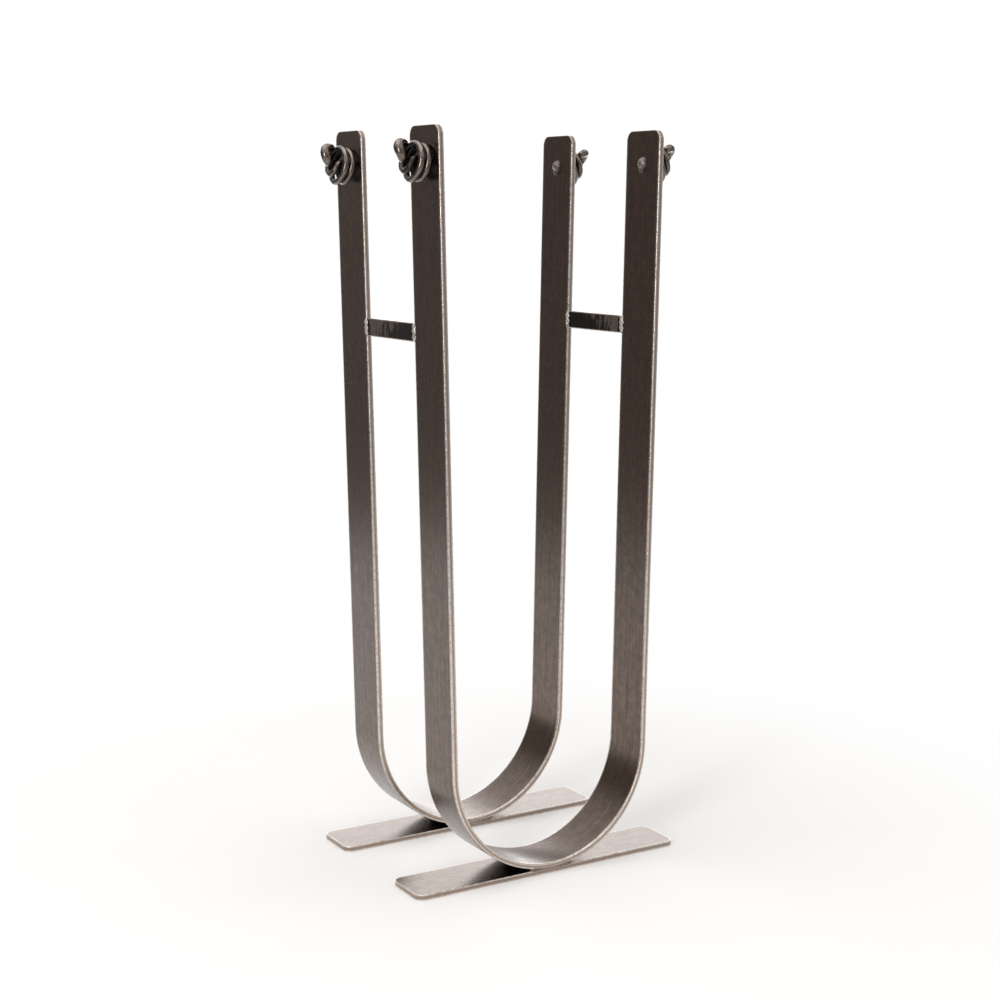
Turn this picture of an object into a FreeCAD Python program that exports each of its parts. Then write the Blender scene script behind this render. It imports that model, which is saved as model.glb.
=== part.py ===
import FreeCAD, Part
import math
import os

# Log holder: two flat-bar hoops stand one behind the other on flat feet, and cross bars tie their uprights.
# Near its top each upright carries a rod that is wound into a knot. The rod's shank goes through the bar and
# is peened over on the inside.
# Millimetres, +Z up. X runs across a hoop, Y from the front hoop (-Y) to the rear one. The origin is on the
# floor, midway between the feet.

V = FreeCAD.Vector

# Flat bar that the hoops and feet are cut from
BAR_WIDTH = 60.0
BAR_THICKNESS = 5.0
BAR_END_ROUND = 11.0
EDGE_ROUND = 0.8

# Hoops
OVERALL_HEIGHT = 810.0
HOOP_BEND_WIDTH = 250.0
HOOP_GAP = 112.0
SPLAY_DEG = 1.2

# Feet
FOOT_LENGTH = 336.0
FOOT_THICKNESS = 6.0
FOOT_CORNER_ROUND = 10.0

# Cross bars
CROSS_BAR_HEIGHT = 20.0
CROSS_BAR_THICKNESS = 5.0
CROSS_BAR_LEVEL = 598.0

# Welds: the wedge between hoop and foot, and the beads at the ends of the cross bars
FOOT_WELD_REACH = 28.0
FOOT_WELD_DEPTH = 7.0
FOOT_WELD_ROOT = 0.1
BEAD_WIDTH = 6.0
BEAD_CROWN = 1.4

# Knots of round rod
ROD_DIAMETER = 6.8
STRAND_CLEARANCE = 0.8
TAIL_CORE_DIAMETER = 10.2
TAIL_DIAMETER = 10.6
TAIL_END_DIAMETER = 8.8
KNOT_DROP = 37.0
SHANK_CLEARANCE = 0.1
RIVET_HEAD_DIAMETER = 18.0
RIVET_HEAD_HEIGHT = 5.0

# How each knot is turned about its shank
KNOT_TURNS_DEG = {"front_left": 0.0, "rear_left": -8.0, "rear_right": 22.0, "front_right": 14.0}

# Form of the knot: a coil whose axis leans up the bar, with the shank and the hooked tail in its core.
# Its lengths go by the spacing of two strands. Points lie on the upright's own axes: x across the bar, y up
# along it and z out of its face.
STRAND = ROD_DIAMETER + STRAND_CLEARANCE
COIL_LEAN_DEG = 16.0
COIL_SIDE = 0.38 * STRAND
COIL_DROP = 0.52 * STRAND
COIL_RADIUS = 2.37 * STRAND
COIL_FIRST_RADIUS = 1.48 * STRAND
COIL_LAST_RADIUS = 1.93 * STRAND
COIL_OUTER_LEVEL = 2.82 * STRAND
COIL_PITCH = 1.05 * STRAND
COIL_START_DEG = -90.0
COIL_STEP_DEG = 82.0
COIL_STEPS = 9
COIL_EASE_STEPS = 2
SHANK_IN_CORE = (V(1.07, 0.365, 1.53) * STRAND, V(0.53, 0.48, 1.0))
TAIL_IN_CORE = (V(-0.35, 0.20, 2.145) * STRAND, V(0.30, 0.09, 1.0))
TAIL_BEND = (V(0.957, 1.67, 4.235) * STRAND, V(-0.36, 0.79, 0.17))
TAIL_END = (V(-0.393, 2.405, 2.78) * STRAND, V(-0.37, -0.36, -0.74))

# Worked out from the sizes above
SPLAY = math.radians(SPLAY_DEG)
BEND_RADIUS = HOOP_BEND_WIDTH / 2
BEND_LEVEL = FOOT_THICKNESS + BEND_RADIUS
HOOP_CENTRE_Y = (HOOP_GAP + BAR_WIDTH) / 2
LENGTH_TOLERANCE = 1e-4
SAMPLE_SPACING = 0.8
OWN_STRETCH = 1.6
FRONT, REAR = -1, 1
LEFT, RIGHT = -1, 1


def unit(vector):
    """The vector's direction, with length one."""
    return vector * (1.0 / vector.Length)


def face_x(level):
    """Distance of an upright's outer face from the hoop's middle plane at a height above the floor."""
    return BEND_RADIUS / math.cos(SPLAY) + math.tan(SPLAY) * (level - BEND_LEVEL)


def upright_axes(side):
    """Directions of an upright: out of its outer face, and up along the bar."""
    return V(side * math.cos(SPLAY), 0, -math.sin(SPLAY)), V(side * math.sin(SPLAY), 0, math.cos(SPLAY))


def upright_frame(side, level):
    """Placement on an upright's outer face: z out of the face, y up along the bar, x forward on the left."""
    out, up = upright_axes(side)
    along = up.cross(out)
    matrix = FreeCAD.Matrix(along.x, up.x, out.x, side * face_x(level),
                            along.y, up.y, out.y, 0,
                            along.z, up.z, out.z, level,
                            0, 0, 0, 1)
    return FreeCAD.Placement(matrix)


# Hoops and feet

def hoop_profile():
    """Outline of a hoop seen from the front: two splayed uprights joined by a bend, one bar thick."""
    rise = OVERALL_HEIGHT - BEND_LEVEL + BEND_RADIUS * math.sin(SPLAY) - BAR_THICKNESS * math.sin(SPLAY)
    upright = rise / math.cos(SPLAY)
    edges = []
    tops = []
    for radius in (BEND_RADIUS, BEND_RADIUS - BAR_THICKNESS):
        springs = []
        for side in (LEFT, RIGHT):
            out, up = upright_axes(side)
            springs.append(V(0, 0, BEND_LEVEL) + out * radius)
            tops.append(springs[-1] + up * upright)
            edges.append(Part.makeLine(springs[-1], tops[-1]))
        edges.append(Part.Arc(springs[0], V(0, 0, BEND_LEVEL - radius), springs[1]).toShape())
    edges.append(Part.makeLine(tops[0], tops[2]))
    edges.append(Part.makeLine(tops[1], tops[3]))
    return Part.Face(Part.Wire(Part.__sortEdges__(edges)))


def soften(solid, is_sharp):
    """Round the chosen edges by the bar's soft edge."""
    return solid.makeFillet(EDGE_ROUND, [edge for edge in solid.Edges if is_sharp(edge)])


def hoop(row):
    """One flat bar bent into a hoop, with rounded top corners, soft edges and a hole per shank."""
    outline = hoop_profile()
    outline.translate(V(0, row * HOOP_CENTRE_Y - BAR_WIDTH / 2, 0))
    bar = outline.extrude(V(0, BAR_WIDTH, 0))

    def crosses_thickness(edge):
        return abs(edge.Length - BAR_THICKNESS) < LENGTH_TOLERANCE

    bar = bar.makeFillet(BAR_END_ROUND, [edge for edge in bar.Edges if crosses_thickness(edge)])
    bar = soften(bar, lambda edge: not crosses_thickness(edge))
    for side in (LEFT, RIGHT):
        radius = ROD_DIAMETER / 2 + SHANK_CLEARANCE
        hole = Part.makeCylinder(radius, 3 * BAR_THICKNESS, V(0, 0, -2 * BAR_THICKNESS))
        hole.Placement = knot_placement(side, row, 0.0)
        bar = bar.cut(hole)
    return bar


def foot(row):
    """Flat bar under a hoop, with rounded corners and soft upper and lower edges."""
    plate = Part.makeBox(FOOT_LENGTH, BAR_WIDTH, FOOT_THICKNESS,
                         V(-FOOT_LENGTH / 2, row * HOOP_CENTRE_Y - BAR_WIDTH / 2, 0))

    def is_upright(edge):
        return edge.BoundBox.ZLength > FOOT_THICKNESS / 2

    plate = plate.makeFillet(FOOT_CORNER_ROUND, [edge for edge in plate.Edges if is_upright(edge)])
    return soften(plate, lambda edge: not is_upright(edge))


def foot_welds(row):
    """Wedges of weld between the hoop's bend and the foot, ground flush with the bar's edges."""
    root = math.sqrt(2 * BEND_RADIUS * FOOT_WELD_ROOT)
    level = V(0, 0, BEND_LEVEL)
    start = math.asin(root / BEND_RADIUS)
    finish = math.asin(FOOT_WELD_REACH / BEND_RADIUS)
    solids = []
    for side in (LEFT, RIGHT):
        on_bend = [level + V(side * math.sin(a), 0, -math.cos(a)) * BEND_RADIUS
                   for a in (start, (start + finish) / 2, finish)]
        on_foot = [V(p.x, 0, FOOT_THICKNESS) for p in on_bend]
        edges = [Part.Arc(*on_bend).toShape(),
                 Part.makeLine(on_bend[2], on_foot[2]),
                 Part.makeLine(on_foot[2], on_foot[0]),
                 Part.makeLine(on_foot[0], on_bend[0])]
        wedge = Part.Face(Part.Wire(edges))
        for edge_side in (FRONT, REAR):
            flush = row * HOOP_CENTRE_Y + edge_side * BAR_WIDTH / 2
            inner = flush - edge_side * FOOT_WELD_DEPTH
            piece = wedge.copy()
            piece.translate(V(0, min(flush, inner), 0))
            solids.append(piece.extrude(V(0, FOOT_WELD_DEPTH, 0)))
    return Part.makeCompound(solids)


# Cross bars

def cross_bar(side):
    """Flat bar between the facing edges of two uprights, flush with the middle of their thickness."""
    bar = Part.makeBox(HOOP_GAP, CROSS_BAR_HEIGHT, CROSS_BAR_THICKNESS,
                       V(-HOOP_GAP / 2, -CROSS_BAR_HEIGHT / 2, -(BAR_THICKNESS + CROSS_BAR_THICKNESS) / 2))
    bar.Placement = upright_frame(side, CROSS_BAR_LEVEL)
    return bar


def cross_bar_welds(side):
    """Low beads over the joints at both ends of a cross bar, on its outer and inner faces."""
    radius = (BEAD_WIDTH ** 2 / 4 + BEAD_CROWN ** 2) / (2 * BEAD_CROWN)
    run = CROSS_BAR_HEIGHT - BEAD_WIDTH
    surface = max(BAR_THICKNESS, CROSS_BAR_THICKNESS) / 2
    slab = Part.makeBox(4 * radius, CROSS_BAR_HEIGHT, BEAD_CROWN, V(-2 * radius, -CROSS_BAR_HEIGHT / 2, 0))
    core = Part.makeCylinder(radius, run, V(0, -run / 2, BEAD_CROWN - radius), V(0, 1, 0))
    ends = [Part.makeSphere(radius, V(0, end * run / 2, BEAD_CROWN - radius)) for end in (-1, 1)]
    bead = core.fuse(ends).removeSplitter().common(slab)
    middle = V(0, 0, -BAR_THICKNESS / 2)
    solids = []
    for joint in (-HOOP_GAP / 2, HOOP_GAP / 2):
        for turn, offset in ((0.0, surface), (180.0, -surface)):
            piece = bead.copy()
            piece.Placement = upright_frame(side, CROSS_BAR_LEVEL).multiply(
                FreeCAD.Placement(middle + V(joint, 0, offset), FreeCAD.Rotation(V(0, 1, 0), turn)))
            solids.append(piece)
    return Part.makeCompound(solids)


# Knots

def knot_placement(side, row, turn_deg):
    """Where a knot's shank leaves its upright's outer face, turned about the shank."""
    place = FreeCAD.Placement(V(0, row * HOOP_CENTRE_Y, 0), FreeCAD.Rotation())
    turn = FreeCAD.Placement(V(0, 0, 0), FreeCAD.Rotation(V(0, 0, 1), turn_deg))
    return place.multiply(upright_frame(side, OVERALL_HEIGHT - KNOT_DROP)).multiply(turn)


def coil_axes():
    """Directions of the coil: across the bar, up across the coil, and out along the coil's axis."""
    lean = math.radians(COIL_LEAN_DEG)
    return V(1, 0, 0), V(0, math.cos(lean), -math.sin(lean)), V(0, math.sin(lean), math.cos(lean))


def ease(share):
    """Smooth step from 0 to 1, and its slope."""
    share = min(1.0, max(0.0, share))
    return share * share * (3 - 2 * share), 6 * share * (1 - share)


def knot_stations():
    """Points and directions that the rod runs through, from its shank at the face to the end of its tail.

    The shank goes out through the core, the coil winds back towards the face, and the tail comes out through
    the core again and hooks back over the coil.
    """
    across, above, out = coil_axes()
    middle = V(COIL_SIDE, -COIL_DROP, 0)
    stations = [(V(0, 0, 0), V(0, 0, 1)), SHANK_IN_CORE]
    step = math.radians(COIL_STEP_DEG)
    for k in range(COIL_STEPS + 1):
        angle = math.radians(COIL_START_DEG) - step * k
        opened, opening = ease(k / COIL_EASE_STEPS)
        closed, closing = ease(COIL_STEPS - k)
        radius = (COIL_RADIUS - (COIL_RADIUS - COIL_FIRST_RADIUS) * (1 - opened)
                  - (COIL_RADIUS - COIL_LAST_RADIUS) * (1 - closed))
        growth = (COIL_RADIUS - COIL_FIRST_RADIUS) * opening / (COIL_EASE_STEPS * step)
        level = COIL_OUTER_LEVEL - COIL_PITCH * step * k / (2 * math.pi)
        ray = across * math.cos(angle) + above * math.sin(angle)
        round_coil = across * math.sin(angle) - above * math.cos(angle)
        heading = round_coil * radius + ray * growth - out * (COIL_PITCH / (2 * math.pi))
        stations.append((middle + ray * radius + out * level, heading))
    stations += [TAIL_IN_CORE, TAIL_BEND, TAIL_END]
    return [(point, unit(heading)) for point, heading in stations]


def arc_from_corner(start, corner, end):
    """Arc that is tangent to both sides of a corner with equal legs."""
    weight = (end - start).Length / (2 * (corner - start).Length)
    shoulder = (start + corner * (2 * weight) + end) * (1 / (2 + 2 * weight))
    return Part.Arc(start, shoulder, end).toShape()


def biarc(start, start_dir, end, end_dir):
    """Two arcs that leave the start and reach the end along the given directions."""
    span = end - start
    spread = 1 - start_dir.dot(end_dir)
    run = span.dot(start_dir + end_dir)
    leg = (math.sqrt(run * run + 2 * spread * span.dot(span)) - run) / (2 * spread)
    first, second = start + start_dir * leg, end - end_dir * leg
    middle = (first + second) * 0.5
    return [arc_from_corner(start, first, middle), arc_from_corner(middle, second, end)]


def ring(point, heading, diameter):
    """Circle round the rod's path, as a wire."""
    return Part.Wire([Part.Circle(point, heading, diameter / 2).toShape()])


def least_self_gap(runs, diameters):
    """Least clear distance of the rod to itself, measured on points along its path."""
    samples = []
    walked = 0.0
    for run, start, end in zip(runs, diameters, diameters[1:]):
        length = sum(edge.Length for edge in run)
        done = 0.0
        for edge in run:
            count = max(2, int(edge.Length / SAMPLE_SPACING))
            for k, point in enumerate(edge.discretize(count)[:-1]):
                travel = done + edge.Length * k / (count - 1)
                samples.append((point, walked + travel, (start + (end - start) * travel / length) / 2))
            done += edge.Length
        walked += length
    least = walked
    for i, (point, travel, radius) in enumerate(samples):
        for other, other_travel, other_radius in samples[:i]:
            reach = radius + other_radius
            if travel - other_travel > OWN_STRETCH * reach:
                least = min(least, point.distanceToPoint(other) - reach)
    return least


def tapered_run(run, start, end, start_diameter, end_diameter):
    """Stretch of rod along two arcs, whose diameter changes from one end to the other."""
    shell = Part.BRepOffsetAPI.MakePipeShell(Part.Wire(run))
    shell.add(ring(*start, start_diameter))
    shell.add(ring(*end, end_diameter))
    shell.build()
    shell.makeSolid()
    return shell.shape()


def knot_solid():
    """Rod wound into a knot: peened head, shank, coil, and a thicker hooked tail with a round end."""
    stations = knot_stations()
    runs = [biarc(*stations[k], *stations[k + 1]) for k in range(len(stations) - 1)]
    tail = [TAIL_CORE_DIAMETER, TAIL_DIAMETER, TAIL_END_DIAMETER]
    first = len(runs) - len(tail)
    diameters = [ROD_DIAMETER] * (first + 1) + tail
    coil_path = [edge for run in runs[:first] for edge in run]
    coil = Part.Wire(coil_path).makePipeShell([ring(*stations[0], ROD_DIAMETER)], True, False)
    pieces = [tapered_run(runs[k], stations[k], stations[k + 1], diameters[k], diameters[k + 1])
              for k in range(first, len(runs))]
    pieces.append(Part.makeSphere(TAIL_END_DIAMETER / 2, *stations[-1], 0, 90, 360))
    pieces.append(Part.makeCylinder(ROD_DIAMETER / 2, BAR_THICKNESS, V(0, 0, -BAR_THICKNESS)))
    pieces.append(rivet_head())
    print("least gap of the knot to itself: %.2f mm" % least_self_gap(runs, diameters))
    return coil.fuse(pieces).removeSplitter()


def rivet_head():
    """Low dome on the inner face of the upright."""
    half = RIVET_HEAD_DIAMETER / 2
    radius = (half * half + RIVET_HEAD_HEIGHT ** 2) / (2 * RIVET_HEAD_HEIGHT)
    base = radius - RIVET_HEAD_HEIGHT
    centre = V(0, 0, base - BAR_THICKNESS)
    return Part.makeSphere(radius, centre, V(0, 0, -1), math.degrees(math.asin(base / radius)), 90, 360)


def main():
    nodes = {}
    rows = {"front": FRONT, "rear": REAR}
    sides = {"left": LEFT, "right": RIGHT}
    knot = knot_solid()
    for row_name, row in rows.items():
        nodes[row_name + "_hoop"] = hoop(row)
        nodes[row_name + "_foot"] = foot(row)
        nodes[row_name + "_foot_welds"] = foot_welds(row)
        for side_name, side in sides.items():
            corner = row_name + "_" + side_name
            tied = knot.copy()
            tied.Placement = knot_placement(side, row, KNOT_TURNS_DEG[corner])
            nodes["knot_" + corner] = tied
    for side_name, side in sides.items():
        nodes[side_name + "_cross_bar"] = cross_bar(side)
        nodes[side_name + "_cross_bar_welds"] = cross_bar_welds(side)

    os.makedirs("parts", exist_ok=True)
    for name, shape in nodes.items():
        shape.exportStep("parts/" + name + ".step")
        box = shape.BoundBox
        print("%-24s valid %s solids %d faces %d volume %.0f  x %.1f..%.1f  y %.1f..%.1f  z %.1f..%.1f" % (
            name, shape.isValid(), len(shape.Solids), len(shape.Faces), shape.Volume,
            box.XMin, box.XMax, box.YMin, box.YMax, box.ZMin, box.ZMax))


main()
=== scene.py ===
import itertools
import math

import bmesh
import bpy
import numpy as np
from bpy.props import FloatProperty, FloatVectorProperty, IntProperty, PointerProperty
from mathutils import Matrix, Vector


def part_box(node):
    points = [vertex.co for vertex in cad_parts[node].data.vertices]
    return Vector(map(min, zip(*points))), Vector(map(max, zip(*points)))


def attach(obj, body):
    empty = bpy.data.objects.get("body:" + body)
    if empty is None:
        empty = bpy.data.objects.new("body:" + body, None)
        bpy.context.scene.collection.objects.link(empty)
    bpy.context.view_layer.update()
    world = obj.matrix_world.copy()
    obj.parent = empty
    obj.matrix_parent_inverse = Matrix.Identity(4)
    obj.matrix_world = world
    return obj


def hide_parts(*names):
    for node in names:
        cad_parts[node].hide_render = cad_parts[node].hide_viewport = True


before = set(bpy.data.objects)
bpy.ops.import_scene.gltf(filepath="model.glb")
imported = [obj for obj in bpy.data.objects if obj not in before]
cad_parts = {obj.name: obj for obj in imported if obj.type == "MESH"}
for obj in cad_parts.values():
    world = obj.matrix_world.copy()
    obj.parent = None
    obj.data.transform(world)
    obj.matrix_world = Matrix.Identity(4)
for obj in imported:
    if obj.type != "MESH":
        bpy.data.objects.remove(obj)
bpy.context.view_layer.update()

bl_info = {
    "name": "Log holder",
    "version": (1, 0, 0),
    "blender": (4, 5, 0),
    "location": "3D View > Sidebar > Log holder",
    "description": "Dresses the solids of a hearth log holder in waxed flat bar, knotted rod and weld",
    "category": "Object",
}

# All lengths are metres. X runs across a hoop, -Y is the front, +Z is up, and the origin is on the floor.
MM = 0.001
FRONT, REAR = -1, 1
LEFT, RIGHT = -1, 1
ROWS = {"front": FRONT, "rear": REAR}
SIDES = {"left": LEFT, "right": RIGHT}
HOOP_LOW, HOOP_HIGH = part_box("front_hoop")
FOOT_LOW, FOOT_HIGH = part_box("front_foot")
CROSS_LOW, CROSS_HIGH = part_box("left_cross_bar")
# The hoops' bar is drawn a little wider and thicker than its solid, as it looks in the photograph
WIDER_BAR = 2 * MM


def linear(code):
    """An sRGB hex colour as linear values: each channel has the sRGB curve undone."""
    srgb = np.array([int(code[k:k + 2], 16) for k in (0, 2, 4)]) / 255
    return tuple(float(c) for c in np.where(srgb <= 0.04045, srgb / 12.92, ((srgb + 0.055) / 1.055) ** 2.4))


def length(name, description, default):
    """A size in metres that the panel shows with its unit."""
    return FloatProperty(name=name, description=description, default=default, unit="LENGTH", precision=5)


def angle(name, description, degrees):
    """An angle that the panel shows in degrees."""
    return FloatProperty(name=name, description=description, default=math.radians(degrees), unit="ROTATION")


def colour(name, description, code):
    """A colour that is written as sRGB hex and kept as linear values."""
    return FloatVectorProperty(name=name, description=description, default=linear(code), subtype="COLOR",
                               min=0.0, max=1.0)


class HolderSizes(bpy.types.PropertyGroup):
    """Sizes of the bars, knots and welds."""
    height: length("Height", "Floor to the top of the uprights", HOOP_HIGH.z)
    bar_width: length("Bar width", "Width of the hoops' flat bar", HOOP_HIGH.y - HOOP_LOW.y + WIDER_BAR)
    bar_thickness: length("Bar thickness", "Thickness of the hoops' flat bar", 6 * MM)
    bend_width: length("Bend width", "Outer width of a hoop at its bend", 250 * MM)
    splay: angle("Splay", "Outward lean of each upright", 1.2)
    hoop_middle: length("Hoop distance", "From the middle plane to a hoop's middle",
                        -(HOOP_HIGH.y + HOOP_LOW.y) / 2)
    end_round: length("End round", "Corner radius at the top of an upright", 11 * MM)
    edge_round: length("Edge round", "Radius along the hoops' edges", 1.2 * MM)
    foot_length: length("Foot length", "Length of a foot", FOOT_HIGH.x - FOOT_LOW.x)
    foot_width: length("Foot width", "Width of a foot", FOOT_HIGH.y - FOOT_LOW.y)
    foot_thickness: length("Foot thickness", "Thickness of a foot", FOOT_HIGH.z - FOOT_LOW.z)
    foot_round: length("Foot round", "Corner radius of a foot", 10 * MM)
    foot_edge_round: length("Foot edge round", "Radius along a foot's edges", 0.8 * MM)
    cross_length: length("Cross bar length", "Length of a cross bar", CROSS_HIGH.y - CROSS_LOW.y - WIDER_BAR)
    cross_height: length("Cross bar height", "Height of a cross bar", 20 * MM)
    cross_thickness: length("Cross bar thickness", "Thickness of a cross bar", 5 * MM)
    cross_edge_round: length("Cross bar edge round", "Radius along a cross bar's edges", 0.9 * MM)
    cross_level: length("Cross bar level", "Height of a cross bar's middle", (CROSS_HIGH.z + CROSS_LOW.z) / 2)
    rod: length("Rod", "Diameter of the knotted rod", 6.8 * MM)
    strand_clearance: length("Strand clearance", "Least gap between strands of a knot", 0.8 * MM)
    tail_core: length("Tail in the core", "Diameter of the tail where it leaves a knot's core", 10.2 * MM)
    tail: length("Tail", "Diameter of a knot's tail at its bend", 10.6 * MM)
    tail_end: length("Tail end", "Diameter at the end of a knot's tail", 8.8 * MM)
    knot_drop: length("Knot drop", "From the top of an upright to a knot's shank", 37 * MM)
    head_width: length("Head width", "Diameter of a peened head", 18 * MM)
    head_height: length("Head height", "Height of a peened head", 5 * MM)
    foot_weld_reach: length("Foot weld reach", "From the middle of a foot to the end of its weld", 28 * MM)
    foot_weld_depth: length("Foot weld depth", "How far a foot's weld goes in from the edge", 7 * MM)
    bead_width: length("Bead width", "Width of a weld bead on a cross bar", 8 * MM)
    bead_crown: length("Bead crown", "Height of a weld bead on a cross bar", 1.7 * MM)


class HolderColours(bpy.types.PropertyGroup):
    """Colours of the finishes and of the floor."""
    bar: colour("Bar", "Waxed flat bar where it is plain", "705e53")
    bar_dark: colour("Dark bar", "Waxed flat bar where scale is left", "53453c")
    side: colour("Narrow side", "Narrow sides of the bars, rubbed lighter", "98867a")
    # Also the heads' crowns, where the bright tone is partly a painted highlight
    bare: colour("Bare edge", "Corners that are worn bright", "dcd2c9")
    rod: colour("Rod", "Forged rod where it is brushed", "80756c")
    rod_dark: colour("Dark rod", "Forged rod where some scale is left", "594f48")
    # Also painted shade on the coil's inner sides and in its hollow
    scale: colour("Scale", "Black scale inside the knots and round the heads", "2b2622")
    weld: colour("Weld", "Bare weld metal", "e0dad4")
    weld_dark: colour("Dark weld", "Weld where it is burnt", "7b716a")
    ground: colour("Ground weld", "Weld that is ground flush and waxed", "8f7e72")
    ground_dark: colour("Dark ground weld", "Ground weld where it is burnt", "7d6d61")
    cross: colour("Cross bar", "Cross bar where it is bare", "978a81")
    cross_dark: colour("Dark cross bar", "Cross bar where it is dull", "7c7067")
    heat: colour("Heat mark", "Burnt scale on a cross bar", "120f0d")
    floor: colour("Floor", "Floor and backdrop", "f4f2f0")
    dim: colour("Dim sides", "Tint of the studio's dim sides", "f2e6df")


class HolderDetail(bpy.types.PropertyGroup):
    """How finely the surfaces are divided."""
    corner_steps: IntProperty(name="Corner steps", description="Faces round a soft edge", default=5, min=2)
    bend_steps: IntProperty(name="Bend steps", description="Faces round a hoop's bend", default=96, min=24)
    rod_sides: IntProperty(name="Rod sides", description="Faces round a rod", default=28, min=12)
    arc_steps: IntProperty(name="Arc steps", description="Rings along each arc of a knot", default=10, min=4)


# Meshes: a grid has rows along a piece and columns round it, and each of its points has two marks.
# "wear" says where the metal is worn bright; on a head's crown it is partly a painted highlight. "narrow"
# says
# where it has its third tone: the rubbed narrow side of a bar, or on a rod scale and painted shade in the
# coil.

# How far from a soft edge a flat gets a line of points, in edge radii, so that its shading stays flat
FLAT_SUPPORT = 1.8
# Where the line of points on a narrow side lies, as a share of the way from its middle to its soft edge
NARROW_SUPPORT = 0.25
# Points nearer than the first length are merged, and edges shorter than the second one are dissolved
MERGE_WITHIN, DISSOLVE_WITHIN = 1e-3 * MM, 1e-4 * MM


def bar_section(half_width, half_thickness, radius, steps):
    """A flat bar's section as points (across, through) and their marks for wear and for the narrow sides.

    Quarter circles join the broad and narrow sides. Each flat has a line of points near its corners, so that
    the shading stays flat up to the soft edge.
    """
    turn = np.linspace(0, np.pi / 2, steps + 1)
    inset = radius * FLAT_SUPPORT
    across, through, wear, narrow = [], [], [], []
    for quarter in range(4):
        angles = turn + quarter * np.pi / 2
        sign_a = 1 if quarter in (0, 3) else -1
        sign_t = 1 if quarter in (0, 1) else -1
        corner_a = sign_a * (half_width - radius) + radius * np.cos(angles)
        corner_t = sign_t * (half_thickness - radius) + radius * np.sin(angles)
        lead_on_narrow = quarter in (0, 2)
        narrow_point = (sign_a * half_width, sign_t * (half_thickness - radius) * NARROW_SUPPORT)
        broad_point = (sign_a * (half_width - radius - inset), sign_t * half_thickness)
        first, last = (narrow_point, broad_point) if lead_on_narrow else (broad_point, narrow_point)
        across.append(np.concatenate([[first[0]], corner_a, [last[0]]]))
        through.append(np.concatenate([[first[1]], corner_t, [last[1]]]))
        wear.append(np.concatenate([[0], np.ones(steps + 1), [0]]))
        mark = np.concatenate([[1], np.linspace(1, 0, steps + 1), [0]])
        narrow.append(mark if lead_on_narrow else mark[::-1])
    return tuple(np.concatenate(column) for column in (across, through, wear, narrow))


def closed_uv(along, around_points):
    """UV in metres for a grid that closes on itself: u along the piece, v round its section."""
    ring = np.vstack([around_points, around_points[:1]])
    around = np.concatenate([[0], np.cumsum(np.linalg.norm(np.diff(ring, axis=0), axis=1))])
    u, v = np.meshgrid(along, around, indexing="ij")
    return np.stack([u, v], axis=-1)


def quad_corners(grid):
    """A grid's values at the four corners of each of its quads, in order round the quad."""
    return np.stack([grid[:-1, :-1], grid[:-1, 1:], grid[1:, 1:], grid[1:, :-1]], axis=2)


def make_piece(name, grids, material, node):
    """A mesh object of closed grids (points, uv, wear, narrow) that replaces a node and rides on the root."""
    vertices, quads, corners, marks = [], [], [], []
    start = 0
    for points, uv, wear, narrow in grids:
        rows, columns = points.shape[:2]
        index = start + np.arange(rows * columns).reshape(rows, columns)
        index = np.hstack([index, index[:, :1]])
        quads.append(quad_corners(index).reshape(-1, 4))
        corners.append(quad_corners(uv).reshape(-1, 2))
        vertices.append(points.reshape(-1, 3))
        both = [np.broadcast_to(mark, (rows, columns)) for mark in (wear, narrow)]
        marks.append(np.stack(both, axis=-1).reshape(-1, 2))
        start += rows * columns
    marks = np.concatenate(marks)
    mesh = bpy.data.meshes.new(name)
    mesh.from_pydata(np.concatenate(vertices).tolist(), [], np.concatenate(quads).tolist())
    layer = mesh.uv_layers.new(name="Along")
    layer.data.foreach_set("uv", np.concatenate(corners).astype(np.float32).ravel())
    for k, mark in enumerate(("wear", "narrow")):
        attribute = mesh.attributes.new(mark, "FLOAT", "POINT")
        attribute.data.foreach_set("value", np.ascontiguousarray(marks[:, k], dtype=np.float32))
    work = bmesh.new()
    work.from_mesh(mesh)
    bmesh.ops.remove_doubles(work, verts=work.verts, dist=MERGE_WITHIN)
    bmesh.ops.dissolve_degenerate(work, dist=DISSOLVE_WITHIN, edges=work.edges)
    bmesh.ops.recalc_face_normals(work, faces=work.faces)
    work.to_mesh(mesh)
    work.free()
    mesh.shade_smooth()
    mesh.materials.append(material)
    piece = bpy.data.objects.new(name, mesh)
    bpy.context.scene.collection.objects.link(piece)
    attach(piece, "root")
    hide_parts(node)


# Places on the holder

def upright_axes(side, splay):
    """Directions of an upright: out of its outer face, up along the bar, and forward on the left side."""
    out = np.array([side * math.cos(splay), 0, -math.sin(splay)])
    up = np.array([side * math.sin(splay), 0, math.cos(splay)])
    return out, up, np.cross(up, out)


def on_upright(sizes, side, y, level):
    """A point on an upright's outer face: the face is tangent to the bend and leans by the splay."""
    radius = sizes.bend_width / 2
    centre = sizes.foot_thickness + radius
    x = radius / math.cos(sizes.splay) + math.tan(sizes.splay) * (level - centre)
    return np.array([side * x, y, level])


# Hoops, feet and cross bars

# How much dimmer the worn edges and narrow sides are drawn near the top of an upright than along it: painted
# shade that damps the glint of the backdrop on the top corners
TOP_PAINTED_SHADE = 0.8
# Where an upright has rows between its top and the bend, in shares of its length
LEG_ROWS = (0.3, 0.7)
# Rows that agree to this many digits, in metres, are one
ROW_DIGITS = 7


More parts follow.
